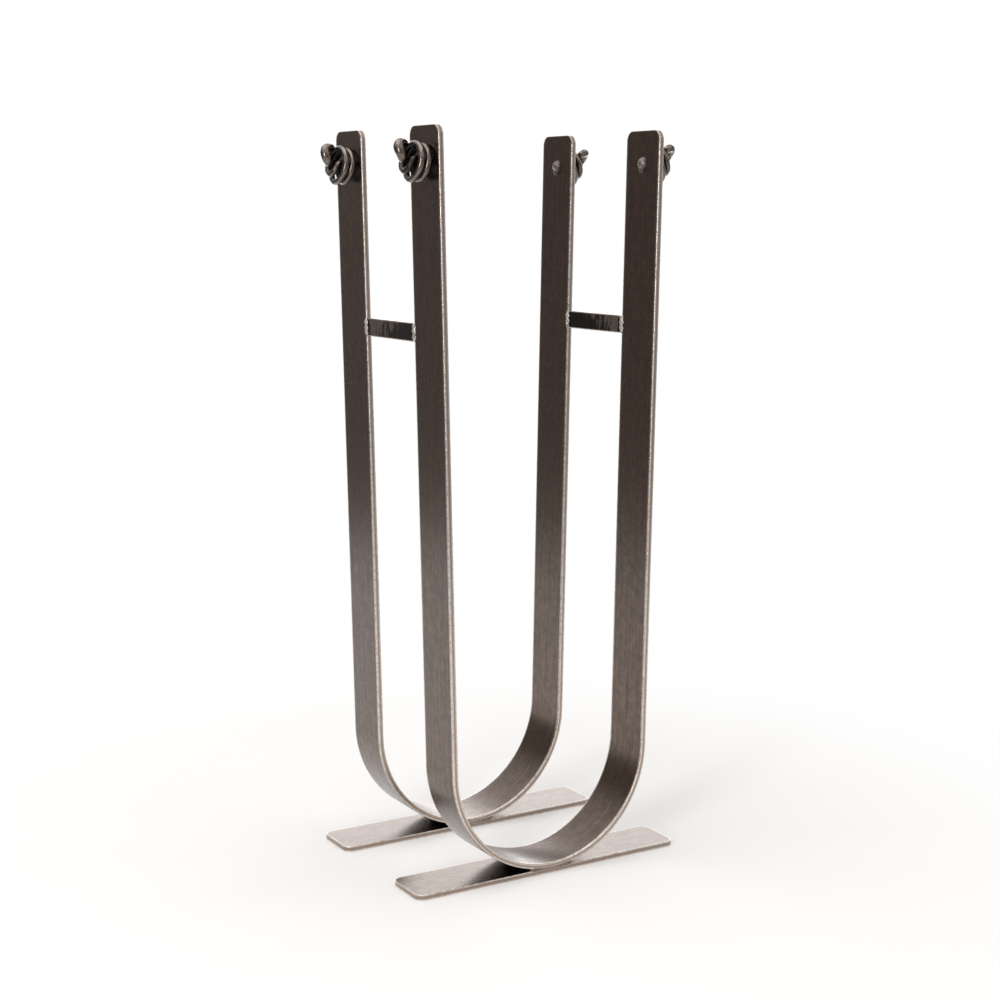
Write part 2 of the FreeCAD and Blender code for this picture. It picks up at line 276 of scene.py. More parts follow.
def hoop_grid(sizes, detail, row):
    """A flat bar bent to a U: the section is carried up one side, round the bend and up the other side.

    Near each end the half width follows the corner's quarter circle, and the last rows close the flat end.
    """
    half_t = sizes.bar_thickness / 2
    radius = sizes.bend_width / 2 - half_t
    centre = sizes.foot_thickness + sizes.bend_width / 2
    leg = (sizes.height - centre + sizes.bend_width / 2 * math.sin(sizes.splay)) / math.cos(sizes.splay)
    leg -= sizes.bar_thickness * math.sin(sizes.splay)
    arc = math.pi - 2 * sizes.splay
    total = 2 * leg + radius * arc
    corner = np.linspace(0, np.pi / 2, 3 * detail.corner_steps)
    from_end = sizes.end_round * (1 - np.cos(corner))
    soft = sizes.edge_round * (1 - np.cos(np.linspace(0, np.pi / 2, detail.corner_steps)))
    near = np.concatenate([[0], soft, from_end, leg * np.array(LEG_ROWS)])
    near = np.unique(np.round(near, ROW_DIGITS))
    middle = leg + np.linspace(0, radius * arc, detail.bend_steps + 1)
    along = np.concatenate([near, middle, total - near[::-1]])
    end = np.minimum(along, total - along)
    lack_w = np.clip(sizes.end_round - end, 0, None)
    lack_t = np.clip(sizes.edge_round - end, 0, None)
    half_w = sizes.bar_width / 2 - sizes.end_round + np.sqrt(sizes.end_round ** 2 - lack_w ** 2)
    thick = (half_t - sizes.edge_round + np.sqrt(sizes.edge_round ** 2 - lack_t ** 2)) / half_t
    section = bar_section(sizes.bar_width / 2, half_t, sizes.edge_round, detail.corner_steps)
    across, through, wear, narrow = section

    bend = np.clip((along - leg) / radius, 0, arc)
    turned = bend + sizes.splay
    spoke = np.stack([-np.cos(turned), np.zeros_like(turned), -np.sin(turned)], axis=-1)
    rise = np.clip(leg - along, 0, None)[:, None] * upright_axes(LEFT, sizes.splay)[1]
    rise = rise + np.clip(along - leg - radius * arc, 0, None)[:, None] * upright_axes(RIGHT, sizes.splay)[1]
    path = np.array([0, row * sizes.hoop_middle, centre]) + radius * spoke + rise
    spread = across[None, :] + np.sign(across)[None, :] * (half_w - sizes.bar_width / 2)[:, None]
    points = path[:, None, :] + (through[None, :] * thick[:, None])[..., None] * spoke[:, None, :]
    points = points + spread[..., None] * np.array([0, 1, 0])
    ends = [0, -1]
    flat_end = points[ends] - (through[None, :] * thick[ends, None])[..., None] * spoke[ends, None, :]
    points = np.concatenate([flat_end[:1], points, flat_end[1:]])
    along = np.concatenate([along[:1], along, along[-1:]])
    # Worn edges and narrow sides fade near the top: painted shade that damps the top corners' glint
    rubbed = 1 - TOP_PAINTED_SHADE * np.concatenate([lack_w[:1], lack_w, lack_w[-1:]])[:, None] / sizes.end_round
    uv = closed_uv(along, np.stack([across, through], axis=-1))
    return points, uv, wear * rubbed, narrow * rubbed


def plate_grid(size, corner_round, edge_round, steps, place):
    """A flat plate with rounded corners and soft edges, placed by a function of (along, across, through).

    Rows go from the middle of one broad side over the rim to the middle of the other. Columns go round the
    outline, which is four quarter circles moved in by the row's inset.
    """
    half = np.array(size) / 2
    turn = np.linspace(0, np.pi / 2, steps)
    theta = np.concatenate([turn + k * np.pi / 2 for k in range(4)])
    sign_x = np.repeat([1, -1, -1, 1], steps)
    sign_y = np.repeat([1, 1, -1, -1], steps)
    # The lower half of the rim, from the broad side to the narrow one; the upper half is its mirror
    inset = np.concatenate([[edge_round * FLAT_SUPPORT], edge_round * (1 - np.sin(turn)), [0]])
    rim = -half[2] + edge_round * (1 - np.cos(turn))
    level = np.concatenate([[-half[2]], rim, [(edge_round - half[2]) / 2]])
    wear = np.concatenate([[0], np.ones(steps), [0]])
    narrow = np.concatenate([[0], turn / turn[-1], [1]])
    inset = np.concatenate([inset, inset[::-1]])[:, None]
    radius = np.clip(corner_round - inset, 0, None)
    shrink = np.clip(inset - corner_round, 0, None)
    x = sign_x * (half[0] - corner_round - shrink) + radius * np.cos(theta)
    y = sign_y * (half[1] - corner_round - shrink) + radius * np.sin(theta)
    spine = np.clip(x[:1], half[1] - half[0], half[0] - half[1])
    x = np.concatenate([spine, x, spine])
    y = np.concatenate([0 * spine, y, 0 * spine])
    level = np.concatenate([level[:1], level, -level[::-1], -level[:1]])
    z = np.broadcast_to(level[:, None], x.shape)
    wear = np.concatenate([[0], wear, wear[::-1], [0]])[:, None]
    narrow = np.concatenate([[0], narrow, narrow[::-1], [0]])[:, None]
    flat = np.stack([x, y + z], axis=-1)
    uv = np.concatenate([flat, flat[:, :1]], axis=1)
    return place(x, y, z), uv, wear, narrow


# Knots

# A knot's route in strand spacings, from the outer face of its upright: x across the bar, y up, z out
COIL_LEAN = math.radians(16.0)
COIL_MIDDLE = np.array([0.38, -0.52, 0.0])
COIL_RADIUS, COIL_FIRST_RADIUS, COIL_LAST_RADIUS = 2.37, 1.48, 1.93
COIL_OUTER_LEVEL, COIL_PITCH = 2.82, 1.05
COIL_START, COIL_STEP = math.radians(-90.0), math.radians(82.0)
COIL_STEPS, COIL_EASE_STEPS = 9, 2
SHANK_ROOT = ((0.0, 0.0, 0.0), (0.0, 0.0, 1.0))
SHANK_IN_CORE = ((1.07, 0.365, 1.53), (0.53, 0.48, 1.0))
TAIL_IN_CORE = ((-0.35, 0.20, 2.145), (0.30, 0.09, 1.0))
TAIL_BEND = ((0.957, 1.67, 4.235), (-0.36, 0.79, 0.17))
TAIL_END = ((-0.393, 2.405, 2.78), (-0.37, -0.36, -0.74))
# How far each knot is turned about its shank, in degrees
KNOT_TURNS = {"front_left": 0.0, "rear_left": -8.0, "rear_right": 22.0, "front_right": 14.0}
# Hammer waves on the rod: lengths, depth as a share of its radius, and shift from knot to knot
LONG_HAMMER_WAVE, SHORT_HAMMER_WAVE = 19 * MM, 11 * MM
HAMMER_DEPTH = 0.014
HAMMER_SHIFT = 1.7
# Where the rod ends inside its upright, in shares of the bar's thickness
ROD_ROOT = (0.6, 0.5)
# Where scale with painted shade begins on the inner side of the coil, and over what range, as the cosine to
# straight outwards
SCALE_SHADE_EDGE, SCALE_SHADE_BLEND = 0.25, 0.9
# How near the coil's axis the rod is darkened all round, by scale and painted shade, in shares of the coil's
# radius
CORE_EDGE, CORE_BLEND = 0.92, 0.12
# How much scale and painted shade each knot has there
CORE_SCALE_SHADE = {"front_left": 0.9, "rear_left": 0.2, "rear_right": 0.5, "front_right": 0.5}
# Lumps of a peened head, in shares of its radius and height: how far out, at what angle, how wide, how high
HEAD_LUMPS = ((0.18, 1.75, 0.80, 1.0), (0.55, -1.30, 0.45, 0.60))
# How a lump rounds off: the power of its bulge, where 0.5 is half a ball
LUMP_ROUND = 0.7
# Hammer dents on a head: their depth as a share of its height, how many cross its radius, and their direction
HEAD_DENT, HEAD_DENTS = 0.04, 1.5
HEAD_DENTS_ACROSS = math.radians(35.0)
# Height of a head's thin skirt, as a share of the head's
HEAD_SKIRT = 0.22
# How much of a head is worn bright at its top, partly a painted highlight, and how much scale is left there
# and at its foot
HEAD_WEAR_HIGHLIGHT, HEAD_TOP_SCALE, HEAD_FOOT_SCALE = 0.5, 0.2, 0.75


def unit(vectors):
    """Vectors with length one."""
    return vectors / np.linalg.norm(vectors, axis=-1, keepdims=True)


def smooth_step(share):
    """Smooth step from 0 to 1, and its slope."""
    share = np.clip(share, 0, 1)
    return share * share * (3 - 2 * share), 6 * share * (1 - share)


def knot_stations(strand):
    """Points and headings of the rod: out through the core, a coil back to the face, then the hooked tail.

    The coil is a helix about an axis that leans up; its radius eases in at the start and at the end.
    """
    axes = np.array([(1, 0, 0), (0, math.cos(COIL_LEAN), -math.sin(COIL_LEAN)),
                     (0, math.sin(COIL_LEAN), math.cos(COIL_LEAN))])
    k = np.arange(COIL_STEPS + 1)
    theta = COIL_START - COIL_STEP * k
    opened, opening = smooth_step(k / COIL_EASE_STEPS)
    closed = smooth_step(COIL_STEPS - k)[0]
    radius = (COIL_RADIUS - (COIL_RADIUS - COIL_FIRST_RADIUS) * (1 - opened)
              - (COIL_RADIUS - COIL_LAST_RADIUS) * (1 - closed))
    growth = (COIL_RADIUS - COIL_FIRST_RADIUS) * opening / (COIL_EASE_STEPS * COIL_STEP)
    level = COIL_OUTER_LEVEL - COIL_PITCH * COIL_STEP * k / (2 * np.pi)
    sink = np.full_like(level, -COIL_PITCH / (2 * np.pi))
    coil = np.stack([radius * np.cos(theta), radius * np.sin(theta), level], axis=-1)
    round_coil = np.stack([radius * np.sin(theta) + growth * np.cos(theta),
                           growth * np.sin(theta) - radius * np.cos(theta), sink], axis=-1)
    shank_spots, shank_ways = zip(SHANK_ROOT, SHANK_IN_CORE)
    tail_spots, tail_ways = zip(TAIL_IN_CORE, TAIL_BEND, TAIL_END)
    points = np.vstack([*shank_spots, coil @ axes + COIL_MIDDLE, *tail_spots])
    headings = np.vstack([*shank_ways, round_coil @ axes, *tail_ways])
    return points * strand, unit(headings)


def knot_path(strand, steps):
    """The rod's middle line: two arcs from each station to the next, tangent to both headings.

    Both arcs have corners with equal legs. An arc is the conic of its start, corner and end with weights 1, w
    and 1, where w is half its chord over its leg.
    """
    points, headings = knot_stations(strand)
    start, end, leave, reach = points[:-1], points[1:], headings[:-1], headings[1:]
    span = end - start
    spread = 1 - np.sum(leave * reach, axis=-1)
    run = np.sum(span * (leave + reach), axis=-1)
    leg = (np.sqrt(run ** 2 + 2 * spread * np.sum(span * span, axis=-1)) - run) / (2 * spread)
    first = start + leave * leg[:, None]
    second = end - reach * leg[:, None]
    middle = (first + second) / 2
    arc_start = np.stack([start, middle], axis=1).reshape(-1, 1, 3)
    corner = np.stack([first, second], axis=1).reshape(-1, 1, 3)
    arc_end = np.stack([middle, end], axis=1).reshape(-1, 1, 3)
    chord = np.linalg.norm(arc_end - arc_start, axis=-1, keepdims=True)
    weight = chord / (2 * np.linalg.norm(corner - arc_start, axis=-1, keepdims=True))
    t = np.linspace(0, 1, steps, endpoint=False)[None, :, None]
    shares = (1 - t) ** 2, 2 * t * (1 - t) * weight, t * t
    curve = (shares[0] * arc_start + shares[1] * corner + shares[2] * arc_end) / sum(shares)
    return np.vstack([curve.reshape(-1, 3), points[-1:]]), headings[-1]


def across_path(path):
    """Two directions across a path, untwisted: each is the one before, less its share of the heading."""
    heading = unit(np.gradient(path, axis=0))
    side = np.array([1.0, 0.0, 0.0])
    sides = np.empty_like(path)
    for k, direction in enumerate(heading):
        side = unit(side - direction * (side @ direction))
        sides[k] = side
    return sides, np.cross(heading, sides)


def scale_and_shade(path, points, strand, core):
    """Marks for scale and painted shade: 1 on the side of the rod that faces the coil's axis, 0 on its outer
    side.

    In the core of the coil the rod has at least the core's share all round, which darkens the coil's hollow
    as painted shade.
    """
    axis = np.array([0, math.sin(COIL_LEAN), math.cos(COIL_LEAN)])
    away = path - COIL_MIDDLE * strand
    away = away - np.outer(away @ axis, axis)
    reach = np.linalg.norm(away, axis=-1)[:, None] / (COIL_RADIUS * strand)
    away = unit(away)[:, None]
    outward = unit(points - path[:, None] + away * MM * MM)
    inner_side = smooth_step((SCALE_SHADE_EDGE - np.sum(outward * away, axis=-1)) / SCALE_SHADE_BLEND)[0]
    return np.maximum(inner_side, core * smooth_step((CORE_EDGE - reach) / CORE_BLEND)[0])


def rod_grid(sizes, detail, place, phase, core):
    """A round rod along the knot's path. Its tail is thicker, tapers and closes as a half ball.

    Hammering shows as two slow waves along the rod, one with two and one with three swells round it.
    """
    strand = sizes.rod + sizes.strand_clearance
    path, last = knot_path(strand, detail.arc_steps)
    travel = np.concatenate([[0], np.cumsum(np.linalg.norm(np.diff(path, axis=0), axis=1))])
    tail = np.array([sizes.rod, sizes.tail_core, sizes.tail, sizes.tail_end]) / 2
    tail_starts = travel[-1 - 2 * detail.arc_steps * np.arange(len(tail))[::-1]]
    radius = np.interp(travel, tail_starts, tail)
    ball = np.linspace(0, np.pi / 2, 3 * detail.corner_steps)[1:]
    root = np.array([(0, 0, -sizes.bar_thickness * share) for share in ROD_ROOT])
    path = np.vstack([root, path, path[-1] + last * (tail[-1] * np.sin(ball))[:, None]])
    radius = np.concatenate([[0, radius[0]], radius, tail[-1] * np.cos(ball)])
    travel = np.concatenate([root[:, 2], travel, travel[-1] + tail[-1] * np.sin(ball)])
    side, up = across_path(path)
    theta = np.linspace(0, 2 * np.pi, detail.rod_sides, endpoint=False)
    wave = (np.sin(2 * np.pi * travel[:, None] / LONG_HAMMER_WAVE + 2 * theta + phase)
            + np.sin(2 * np.pi * travel[:, None] / SHORT_HAMMER_WAVE - 3 * theta + 2 * phase))
    girth = radius[:, None] * (1 + HAMMER_DEPTH * wave)
    points = (path[:, None] + (girth * np.cos(theta))[..., None] * side[:, None]
              + (girth * np.sin(theta))[..., None] * up[:, None])
    ring = sizes.rod / 2 * np.stack([np.cos(theta), np.sin(theta)], axis=-1)
    # Scale and painted shade on the coil's inner sides and in its hollow, none on the tail
    inside = scale_and_shade(path, points, strand, core)
    in_tail = smooth_step((travel - tail_starts[1]) / (tail_starts[2] - tail_starts[1]))[0][:, None]
    return place(points), closed_uv(travel, ring), 0.0, inside * (1 - in_tail)


def head_grid(sizes, detail, place, turn):
    """A peened head on the inner face: a thin skirt and, over it, the higher of two round lumps.

    Hammer dents are a slanting wave, deepest where the lumps are high.
    """
    share = np.concatenate([[1], np.linspace(1, 0, 6 * detail.corner_steps)])[:, None]
    theta = np.linspace(0, 2 * np.pi, 2 * detail.rod_sides, endpoint=False)
    x = share * np.cos(theta)
    y = share * np.sin(theta)
    lift = HEAD_SKIRT * (1 - share ** 2) + 0 * x
    for away, around, reach, height in HEAD_LUMPS:
        off_x = x - away * math.cos(around + turn)
        off_y = y - away * math.sin(around + turn)
        bulge = np.clip(1 - (off_x ** 2 + off_y ** 2) / reach ** 2, 0, None)
        lift = np.maximum(lift, height * bulge ** LUMP_ROUND)
    slant = x * math.cos(HEAD_DENTS_ACROSS + turn) + y * math.sin(HEAD_DENTS_ACROSS + turn)
    lift = lift * (1 - HEAD_DENT * (1 + np.sin(2 * np.pi * HEAD_DENTS * slant)))
    lift[0] = 0
    depth = -sizes.bar_thickness - sizes.head_height * lift
    points = np.stack([sizes.head_width / 2 * x, sizes.head_width / 2 * y, depth], axis=-1)
    flat = np.concatenate([points[..., :2], points[:, :1, :2]], axis=1)
    scale = HEAD_FOOT_SCALE + (HEAD_TOP_SCALE - HEAD_FOOT_SCALE) * lift ** 2
    # The lumps' tops are worn bright and drawn brighter as a painted highlight
    return place(points), flat, HEAD_WEAR_HIGHLIGHT * lift ** 2, scale


# Welds

WELD_RIPPLE, WELD_RIPPLE_LENGTH = 0.05 * MM, 3.4 * MM
# How far a foot's weld stands out over the edges it covers, and how far it reaches past their soft corners
WELD_PROUD, WELD_BITE = 0.12 * MM, 0.25 * MM
# How far a foot's weld draws back at its tips
WELD_TIP = 5 * MM
WELD_ROWS = 121
BEAD_ROWS, BEAD_COLUMNS = 61, 13
# How far a bead strays from its joint, and over what length
BEAD_STRAY, BEAD_STRAY_LENGTH = 0.35 * MM, 9 * MM
# How much narrower a bead is in places, as a share of its width, and over what length
BEAD_NARROWING, BEAD_NARROWING_LENGTH = 0.2, 6.1 * MM
# Ripples of the pool: height as a share of the crown, length, and how far they lean along the bead
POOL_RIPPLE, POOL_RIPPLE_LENGTH, POOL_LEAN = 0.22, 2.3 * MM, 0.8 * MM
# How blunt a bead's ends are, as a power, and how deep its root lies, on the piece and on its map
BEAD_BLUNT = 5
BEAD_ROOT, BEAD_ROOT_ON_MAP = 0.4 * MM, 0.2
# How the ripples shift from joint to joint and from face to face
JOINT_SHIFT, FACE_SHIFT = 1.1, 2.3


def foot_weld_grid(sizes, row, edge):
    """Weld between a bend and its foot: a strip as thick as the gap under the arc, ground flush.

    Its face leans from the foot's side to the hoop's side and covers the soft corners between them. At each
    end it draws back into the wedge along a quarter circle, so the tips are round.
    """
    radius = sizes.bend_width / 2
    x = np.linspace(-1, 1, WELD_ROWS) * sizes.foot_weld_reach
    gap = radius - np.sqrt(radius ** 2 - x ** 2)
    base = sizes.foot_thickness
    middle_y = row * sizes.hoop_middle
    ripple = WELD_RIPPLE * np.sin(2 * np.pi * x / WELD_RIPPLE_LENGTH + np.sin(x / WELD_RIPPLE_LENGTH))
    tip = np.clip((np.abs(x) - sizes.foot_weld_reach) / WELD_TIP + 1, 0, 1)
    drawn = WELD_TIP * (1 - np.sqrt(1 - tip ** 2))
    stand = WELD_PROUD + ripple - drawn
    low_face = middle_y + edge * (sizes.foot_width / 2 + stand)
    high_face = middle_y + edge * (sizes.bar_width / 2 + stand)
    back = np.full_like(x, middle_y + edge * (sizes.foot_width / 2 - sizes.foot_weld_depth))
    low = base - sizes.foot_edge_round - WELD_BITE + 0 * x
    high = base + gap + sizes.edge_round + WELD_BITE
    halfway = (low_face + high_face) / 2, (low + high) / 2
    columns = ((low_face, low), halfway, (high_face, high), (back, high), (back, low))
    points = np.stack([np.stack([x, y, z], axis=-1) for y, z in columns], axis=1)
    middle = points.mean(axis=1, keepdims=True) + np.zeros_like(points)
    points = np.concatenate([middle[:1], points, middle[-1:]])
    along = np.concatenate([x[:1], x, x[-1:]])
    ring = points[len(points) // 4, :, 1:]
    return points, closed_uv(along, ring), 0.0, 0.0


def bead_grid(sizes, place, phase):
    """A weld bead: a low arch carried along the joint, with the pool's ripples and round, uneven ends."""
    s = np.linspace(-1, 1, BEAD_ROWS)
    along = s * sizes.cross_height / 2
    fade = np.sqrt(np.clip(1 - np.abs(s) ** BEAD_BLUNT, 0, 1))
    stray = BEAD_STRAY * np.sin(2 * np.pi * along / BEAD_STRAY_LENGTH + phase)
    pool = 1 + POOL_RIPPLE * np.cos(2 * np.pi * along / POOL_RIPPLE_LENGTH + phase)
    narrowing = BEAD_NARROWING * (1 - np.sin(2 * np.pi * along / BEAD_NARROWING_LENGTH + 2 * phase))
    width = sizes.bead_width / 2 * fade * (1 - narrowing)
    arch = np.linspace(0, np.pi, BEAD_COLUMNS)
    x = stray[:, None] + width[:, None] * np.cos(arch)
    z = sizes.bead_crown * (fade * pool)[:, None] * np.sin(arch)
    y = along[:, None] + POOL_LEAN * np.sin(arch) * fade[:, None]
    x = np.hstack([x, stray[:, None]])
    z = np.hstack([z, np.full((len(s), 1), -BEAD_ROOT)])
    y = np.hstack([y, along[:, None]])
    ring = np.stack([np.append(np.cos(arch), 0), np.append(np.sin(arch), -BEAD_ROOT_ON_MAP)], axis=-1)
    uv = closed_uv(along, ring * sizes.bead_width / 2)
    return place(x, y, z), uv, 0.0, 0.0


# Materials

# Pattern sizes in millimetres
STREAK_LENGTH = 90.0
TOOTH = 1.2
CHIP = 3.0
HEAT_WIDTH, HEAT_HEIGHT = 7.0, 20.0
WELD_CLOUD, WELD_PIT = 3.0, 1.1
# Where the chips of a worn corner begin and are full, on their noise
CHIP_FROM, CHIP_TO = 0.2, 0.55
# How much the gloss varies either way, and between which sums of clouds and streaks
GLOSS_VARIES, UNEVEN_FROM, UNEVEN_TO = 0.05, 0.7, 1.3
# Strength and depth of the relief of the scale's tooth and of the streaks
TOOTH_RELIEF, TOOTH_DEPTH = 0.07, 0.15 * MM
STREAK_RELIEF, STREAK_DEPTH = 0.04, 0.2 * MM
# How fast burnt marks spread along a cross bar and down it, per metre, and where they begin and are full
HEAT_ALONG, HEAT_DOWN = 4.0, 9.0
HEAT_FROM, HEAT_TO = 0.38, 0.5
# Where the burnt band beside a cross bar's weld begins and is full, from the bar's middle, and its weight
HEAT_BAND_FROM, HEAT_BAND_TO, HEAT_BAND = 46 * MM, 50 * MM, 0.4
# How much rougher the rod is where scale and painted shade are drawn
SCALE_DULL = 0.3
# Clear wax on the steel
WAX, WAX_GLOSS, WAX_IOR = 0.5, 0.22, 1.45
# Bare weld metal: its gloss, where its burnt patches end and bright metal is full, and the relief of its pits
WELD_GLOSS = 0.36
WELD_BURNT, WELD_BRIGHT = 0.36, 0.62
PIT_RELIEF, PIT_DEPTH = 0.5, 0.25 * MM


def add_node(tree, kind, inputs=(), **settings):
    """Add a node with its settings and give its outputs; each input is a value, or a socket to link from."""
    made = tree.nodes.new("ShaderNode" + kind)
    for name, value in settings.items():
        setattr(made, name, value)
    for socket, value in dict(inputs).items():
        if isinstance(value, bpy.types.NodeSocket):
            tree.links.new(value, made.inputs[socket])
        else:
            made.inputs[socket].default_value = value
    return made.outputs


def per_mm(size):
    """Texture scale at which a pattern's features are about this many millimetres across, on metres."""
    return 1000.0 / size


def new_material(name):
    """An empty node tree with its output."""
    material = bpy.data.materials.new(name)
    material.use_nodes = True
    tree = material.node_tree
    tree.nodes.clear()
    return material, tree, tree.nodes.new("ShaderNodeOutputMaterial")


def opaque(rgb):
    """A linear colour with full alpha, as a socket takes it."""
    return (*rgb, 1.0)


def burnt_marks(tree, along):
    """Share of burnt scale on a cross bar: blotches that grow along and down it, and a band by each weld."""
    upright = (per_mm(HEAT_WIDTH), per_mm(HEAT_HEIGHT), 1.0)
    upended = add_node(tree, "Mapping", {"Vector": along, "Scale": upright})
    blotches = add_node(tree, "TexNoise", {"Vector": upended["Vector"], "Scale": 1.0, "Detail": 4.0,
                                           "Roughness": 0.6})["Fac"]
    spot = add_node(tree, "SeparateXYZ", {0: along})
    grown = blotches
    for axis, growth in (("X", HEAT_ALONG), ("Y", -HEAT_DOWN)):
        grown = add_node(tree, "Math", {0: spot[axis], 1: growth, 2: grown},
                         operation="MULTIPLY_ADD")["Value"]
    reach = add_node(tree, "Math", {0: spot["X"]}, operation="ABSOLUTE")["Value"]
    by_weld = add_node(tree, "MapRange", {"Value": reach, "From Min": HEAT_BAND_FROM,
                                          "From Max": HEAT_BAND_TO, "To Max": HEAT_BAND})["Result"]
    heated = add_node(tree, "Math", {0: grown, 1: by_weld}, operation="ADD")["Value"]
    return add_node(tree, "MapRange", {"Value": heated, "From Min": HEAT_FROM,
                                       "From Max": HEAT_TO})["Result"]


def waxed_steel(name, tones, streak_mm, cloud_mm, gloss, speckle, evenness, heat=None, dull=0.0):
    """Hot-rolled mild steel, blackened and waxed: dark and satin, softly clouded, brighter where rubbed.

    Scale left by the mill clouds and streaks the colour and the gloss, the narrow sides are rubbed lighter,
    the corners are worn bright in small chips, and the wax is a thin clear coat that shows at low angles. The
    tooth of the scale is finer than a pixel, and is drawn at about one so that it shows. With more evenness
    the clouds and streaks are fainter. Where "dull" is given, the third tone is that much rougher.
    """
    plain, dark, third, bare = (opaque(tone) for tone in tones)
    material, tree, output = new_material(name)
    along = add_node(tree, "UVMap", uv_map="Along")["UV"]
    place = add_node(tree, "TexCoord")["Object"]
    drawn_out = (per_mm(STREAK_LENGTH), per_mm(streak_mm), 1.0)
    stretched = add_node(tree, "Mapping", {"Vector": along, "Scale": drawn_out})["Vector"]
    streaks, clouds, tooth, chips = (
        add_node(tree, "TexNoise", {"Vector": vector, "Scale": scale, "Detail": detail,
                                    "Roughness": roughness})["Fac"]
        for vector, scale, detail, roughness in ((stretched, 1.0, 4.0, 0.6),
                                                 (place, per_mm(cloud_mm), 6.0, 0.62),
                                                 (place, per_mm(TOOTH), 2.0, 0.6),
                                                 (place, per_mm(CHIP), 4.0, 0.65)))
    uneven = add_node(tree, "Math", {0: clouds, 1: streaks}, operation="ADD")["Value"]
    speckled = add_node(tree, "Math", {0: tooth, 1: speckle, 2: uneven},
                        operation="MULTIPLY_ADD")["Value"]
    cloudy = add_node(tree, "MapRange", {"Value": speckled, "From Min": 1 - evenness + speckle / 2,
                                         "From Max": 1 + evenness + speckle / 2})["Result"]
    narrow = add_node(tree, "Attribute", attribute_name="narrow")["Fac"]
    wear = add_node(tree, "Attribute", attribute_name="wear")["Fac"]
    patchy = add_node(tree, "MapRange", {"Value": chips, "From Min": CHIP_FROM,
                                         "From Max": CHIP_TO})["Result"]
    worn = add_node(tree, "Math", {0: wear, 1: patchy}, operation="MULTIPLY")["Value"]
    layers = [(cloudy, plain), (narrow, third), (worn, bare)]
    if heat is not None:
        layers.insert(2, (burnt_marks(tree, along), opaque(heat)))
    tone = dark
    for share, over in layers:
        tone = add_node(tree, "Mix", {"Factor": share, "A": tone, "B": over},
                        data_type="RGBA")["Result"]
    rough = add_node(tree, "MapRange", {"Value": uneven, "From Min": UNEVEN_FROM, "From Max": UNEVEN_TO,
                                        "To Min": gloss + GLOSS_VARIES,
                                        "To Max": gloss - GLOSS_VARIES})["Result"]
    rough = add_node(tree, "Math", {0: narrow, 1: dull, 2: rough}, operation="MULTIPLY_ADD")["Value"]
    grain = add_node(tree, "Bump", {"Height": tooth, "Strength": TOOTH_RELIEF * speckle,
                                    "Distance": TOOTH_DEPTH})["Normal"]
    relief = add_node(tree, "Bump", {"Height": streaks, "Strength": STREAK_RELIEF * speckle,
                                     "Distance": STREAK_DEPTH, "Normal": grain})["Normal"]
    shader = add_node(tree, "BsdfPrincipled", {"Base Color": tone, "Metallic": 1.0, "Roughness": rough,
                                               "Normal": relief, "Coat Weight": WAX,
                                               "Coat Roughness": WAX_GLOSS, "Coat IOR": WAX_IOR})
    tree.links.new(shader["BSDF"], output.inputs["Surface"])
    return material


def weld_metal(plain, dark):
    """Bare weld: bright silver metal set in ripples, burnt darker in the hollows and along its sides."""
    material, tree, output = new_material("bare_weld")
    place = add_node(tree, "TexCoord")["Object"]
    clouds = add_node(tree, "TexNoise", {"Vector": place, "Scale": per_mm(WELD_CLOUD), "Detail": 5.0,
                                         "Roughness": 0.65})["Fac"]
    bright = add_node(tree, "MapRange", {"Value": clouds, "From Min": WELD_BURNT,
                                         "From Max": WELD_BRIGHT})["Result"]
    tone = add_node(tree, "Mix", {"Factor": bright, "A": opaque(dark), "B": opaque(plain)},
                    data_type="RGBA")["Result"]
    pits = add_node(tree, "TexNoise", {"Vector": place, "Scale": per_mm(WELD_PIT), "Detail": 3.0,
                                       "Roughness": 0.6})["Fac"]
    bump = add_node(tree, "Bump", {"Height": pits, "Strength": PIT_RELIEF,
                                   "Distance": PIT_DEPTH})["Normal"]
    shader = add_node(tree, "BsdfPrincipled", {"Base Color": tone, "Metallic": 1.0, "Roughness": WELD_GLOSS,
                                               "Normal": bump})
    tree.links.new(shader["BSDF"], output.inputs["Surface"])
    return material


def finishes(colours):
    """The holder's materials, made once and then found by name."""
    if "waxed_flat_bar" not in bpy.data.materials:
        bar = (colours.bar, colours.bar_dark, colours.side, colours.bare)
        cross = (colours.cross, colours.cross_dark, colours.side, colours.bare)
        ground = (colours.ground, colours.ground_dark, colours.ground, colours.bare)
        # A rod's third tone is scale, and inside the coil painted shade
        rod = (colours.rod, colours.rod_dark, colours.scale, colours.bare)
        waxed_steel("waxed_flat_bar", bar, streak_mm=3.0, cloud_mm=9.0, gloss=0.30, speckle=1.0,
                    evenness=0.22)
        waxed_steel("waxed_foot_bar", bar, streak_mm=3.0, cloud_mm=9.0, gloss=0.29, speckle=0.15,
                    evenness=0.6)
        waxed_steel("waxed_cross_bar", cross, streak_mm=2.0, cloud_mm=9.0, gloss=0.34, speckle=1.0,
                    evenness=0.2, heat=colours.heat)
        waxed_steel("ground_weld", ground, streak_mm=1.6, cloud_mm=9.0, gloss=0.34, speckle=1.0,
                    evenness=0.2)
        waxed_steel("forged_rod", rod, streak_mm=1.2, cloud_mm=4.0, gloss=0.22, speckle=0.6,
                    evenness=0.2, dull=SCALE_DULL)
        weld_metal(colours.weld, colours.weld_dark)
    return bpy.data.materials


# Operators

class HolderOperator:
    """What the operators share: the scene's settings."""
    bl_options = {"REGISTER", "UNDO"}

    def settings(self, context):
        """The sizes, the detail and the finishes."""
        scene = context.scene
        return scene.holder_sizes, scene.holder_detail, finishes(scene.holder_colours)


